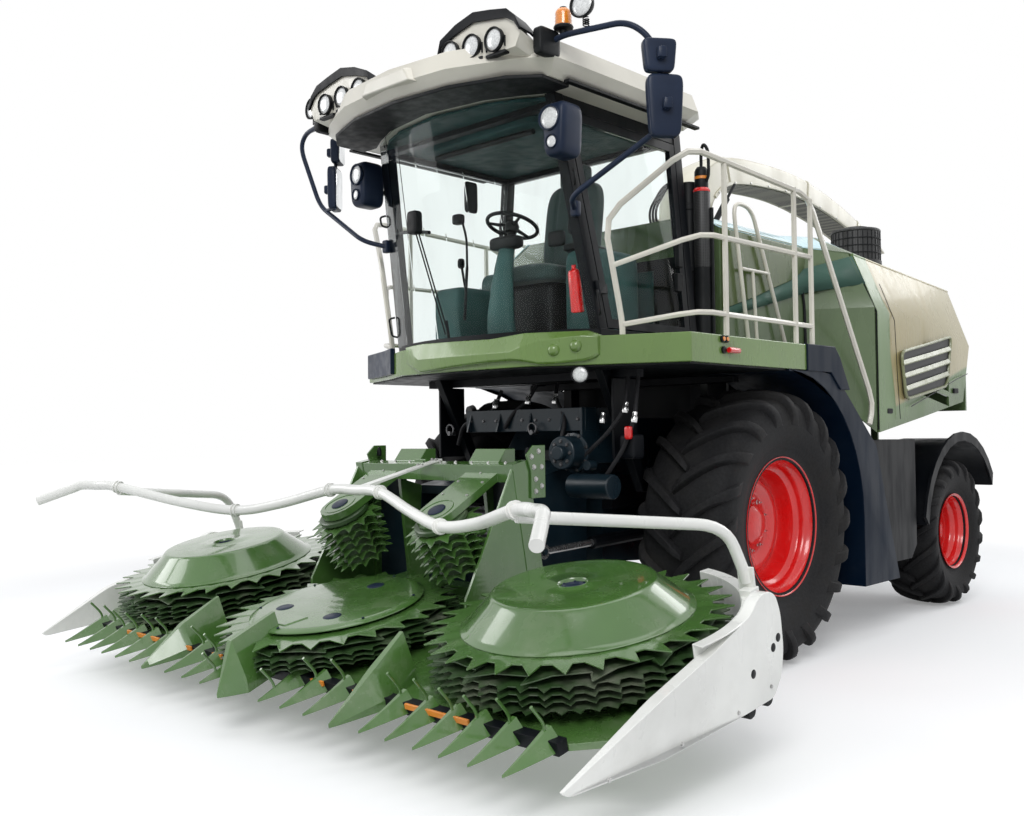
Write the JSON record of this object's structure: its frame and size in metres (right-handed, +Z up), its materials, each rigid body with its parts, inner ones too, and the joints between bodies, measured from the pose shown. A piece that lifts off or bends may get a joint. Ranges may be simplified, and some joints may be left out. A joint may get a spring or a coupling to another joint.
{
  "type": "forage harvester",
  "caption": "Self-propelled forage harvester with a rotary maize header, a glazed cab, a slewing crop spout and steered rear wheels.",
  "frame": {"origin": "on the ground, in the centre plane, below the middle of the overall length (bottom centre of the bounding box)", "axes": "+Z up, the front with the header faces -Y, +X is the machine's own left side"},
  "size_m": [4.74, 7.8122, 3.8863],
  "materials": {
    "green": "gloss",
    "olive": "gloss",
    "cream": "satin",
    "white": "satin",
    "navy": "satin",
    "black": "satin",
    "rubber": "matte",
    "red": "satin",
    "steel": "brushed",
    "glass": "gloss",
    "seat": "matte"
  },
  "bodies": {
    "chassis": {"chassis_frame": "black", "front_axle": "black", "rear_axle_beam": "black", "chopper_housing": "navy", "engine_block": "black", "platform": "green", "front_fender_left": "navy", "front_fender_right": "navy", "rear_fender_left": "black", "rear_fender_right": "black", "body_shell": "green", "rear_panel": "olive", "cab_frame": "black", "windscreen": "glass", "side_window": "glass", "rear_window": "glass", "cab_roof": "cream", "operator_seat": "seat", "steering_column": "black", "guard_rail_left": "cream", "guard_rail_right": "cream", "mirror_left": "black", "mirror_right": "black", "intake_stack": "black", "rear_ladder": "white"},
    "front_wheel_left": {"front_tyre_left": "rubber", "front_rim_left": "red"},
    "front_wheel_right": {"front_tyre_right": "rubber", "front_rim_right": "red"},
    "knuckle_left": {"knuckle_left": "black"},
    "knuckle_right": {"knuckle_right": "black"},
    "rear_wheel_left": {"rear_tyre_left": "rubber", "rear_rim_left": "red"},
    "rear_wheel_right": {"rear_tyre_right": "rubber", "rear_rim_right": "red"},
    "tie_rod": {"tie_rod": "steel"},
    "cab_door": {"cab_door": "black", "cab_door_window": "glass"},
    "engine_door_left": {"engine_door_left": "olive"},
    "engine_door_right": {"engine_door_right": "olive"},
    "spout_turret": {"spout_turret": "cream"},
    "spout": {"spout": "cream"},
    "spout_flap": {"spout_flap": "cream"},
    "header": {"feeder_housing": "navy", "header_frame": "green", "snout_row": "green", "divider_left": "white", "divider_right": "white", "push_bar": "white"},
    "feed_roller": {"feed_roller": "steel"},
    "gathering_drum_left": {"gathering_drum_left": "green"},
    "gathering_drum_right": {"gathering_drum_right": "green"},
    "gathering_drum_centre": {"gathering_drum_centre": "green"},
    "intake_drum_left": {"intake_drum_left": "green"},
    "intake_drum_right": {"intake_drum_right": "green"},
    "lift_barrel_left": {"lift_barrel_left": "black"},
    "lift_barrel_right": {"lift_barrel_right": "black"},
    "lift_rod_left": {"lift_rod_left": "steel"},
    "lift_rod_right": {"lift_rod_right": "steel"}
  },
  "joints": [
    {"name": "front_wheel_left_spin", "type": "hinge", "parent": "chassis", "child": "front_wheel_left", "pos_m": [1.115, -0.5646, 0.9], "axis": [1, 0, 0], "continuous": true},
    {"name": "front_wheel_right_spin", "type": "hinge", "parent": "chassis", "child": "front_wheel_right", "pos_m": [-1.115, -0.5646, 0.9], "axis": [1, 0, 0], "continuous": true},
    {"name": "steer_left", "type": "hinge", "parent": "chassis", "child": "knuckle_left", "pos_m": [0.95, 2.4854, 0.635], "axis": [0, 0, 1], "range_deg": [-40, 40]},
    {"name": "rear_wheel_left_spin", "type": "hinge", "parent": "knuckle_left", "child": "rear_wheel_left", "pos_m": [1.12, 2.4854, 0.635], "axis": [1, 0, 0], "continuous": true},
    {"name": "steer_right", "type": "hinge", "parent": "chassis", "child": "knuckle_right", "pos_m": [-0.95, 2.4854, 0.635], "axis": [0, 0, 1], "range_deg": [-40, 40]},
    {"name": "rear_wheel_right_spin", "type": "hinge", "parent": "knuckle_right", "child": "rear_wheel_right", "pos_m": [-1.12, 2.4854, 0.635], "axis": [1, 0, 0], "continuous": true},
    {"name": "tie_rod_end", "type": "hinge", "parent": "knuckle_left", "child": "tie_rod", "pos_m": [0.95, 2.6454, 0.4697], "axis": [0, 0, 1], "range_deg": [-40, 40]},
    {"name": "cab_door_hinge", "type": "hinge", "parent": "chassis", "child": "cab_door", "pos_m": [0.9346, -1.8311, 2.1], "axis": [0.0829, 0.1768, -0.9807], "range_deg": [0, 28]},
    {"name": "engine_door_left_hinge", "type": "hinge", "parent": "chassis", "child": "engine_door_left", "pos_m": [1.22788, 0.7996, 2.84817], "axis": [0.0141, -0.9985, 0.0524], "range_deg": [0, 70]},
    {"name": "engine_door_right_hinge", "type": "hinge", "parent": "chassis", "child": "engine_door_right", "pos_m": [-1.22788, 0.7996, 2.84817], "axis": [0.0141, 0.9985, -0.0524], "range_deg": [0, 70]},
    {"name": "spout_slew", "type": "hinge", "parent": "chassis", "child": "spout_turret", "pos_m": [0, 0.3854, 3.0159], "axis": [0, 0, 1], "range_deg": [-105, 105]},
    {"name": "spout_lift", "type": "hinge", "parent": "spout_turret", "child": "spout", "pos_m": [0, 0.2894, 3.2159], "axis": [1, 0, 0], "range_deg": [-5, 25]},
    {"name": "spout_flap_hinge", "type": "hinge", "parent": "spout", "child": "spout_flap", "pos_m": [0, 3.52171, 3.58276], "axis": [1, 0, 0], "range_deg": [-55, 8]},
    {"name": "header_lift", "type": "hinge", "parent": "chassis", "child": "header", "pos_m": [0, -1.2646, 1.3], "axis": [-1, 0, 0], "range_deg": [-4.5, 14]},
    {"name": "feed_roller_spin", "type": "hinge", "parent": "header", "child": "feed_roller", "pos_m": [0, -2.0346, 0.97], "axis": [1, 0, 0], "continuous": true},
    {"name": "gathering_drum_left_spin", "type": "hinge", "parent": "header", "child": "gathering_drum_left", "pos_m": [1.553, -2.9016, 0.816], "axis": [0, -0.1822, 0.9833], "continuous": true},
    {"name": "gathering_drum_right_spin", "type": "hinge", "parent": "header", "child": "gathering_drum_right", "pos_m": [-1.553, -2.9016, 0.816], "axis": [0, -0.1822, 0.9833], "continuous": true},
    {"name": "gathering_drum_centre_spin", "type": "hinge", "parent": "header", "child": "gathering_drum_centre", "pos_m": [0, -3.14643, 0.77062], "axis": [0, -0.1822, 0.9833], "continuous": true},
    {"name": "intake_drum_left_spin", "type": "hinge", "parent": "header", "child": "intake_drum_left", "pos_m": [0.444, -2.73787, 1.06297], "axis": [0, -0.4848, 0.8746], "continuous": true},
    {"name": "intake_drum_right_spin", "type": "hinge", "parent": "header", "child": "intake_drum_right", "pos_m": [-0.444, -2.73787, 1.06297], "axis": [0, -0.4848, 0.8746], "continuous": true},
    {"name": "lift_barrel_left_swing", "type": "hinge", "parent": "chassis", "child": "lift_barrel_left", "pos_m": [0.5, -0.7649, 0.84], "axis": [-1, 0, 0], "range_deg": [-6, 14]},
    {"name": "lift_rod_left_slide", "type": "slide", "parent": "lift_barrel_left", "child": "lift_rod_left", "axis": [0, -0.9994, -0.0339], "range_m": [-0.06, 0.16]},
    {"name": "lift_barrel_right_swing", "type": "hinge", "parent": "chassis", "child": "lift_barrel_right", "pos_m": [-0.5, -0.7649, 0.84], "axis": [-1, 0, 0], "range_deg": [-6, 14]},
    {"name": "lift_rod_right_slide", "type": "slide", "parent": "lift_barrel_right", "child": "lift_rod_right", "axis": [0, -0.9994, -0.0339], "range_m": [-0.06, 0.16]}
  ],
  "couplings": [
    {"joint": "steer_right", "follows": "steer_left", "ratio": 1},
    {"joint": "tie_rod_end", "follows": "steer_left", "ratio": -1},
    {"joint": "lift_barrel_left_swing", "follows": "header_lift", "ratio": 0.591},
    {"joint": "lift_rod_left_slide", "follows": "header_lift", "m_per_rad": 0.4455},
    {"joint": "lift_barrel_right_swing", "follows": "header_lift", "ratio": 0.591},
    {"joint": "lift_rod_right_slide", "follows": "header_lift", "m_per_rad": 0.4455}
  ]
}
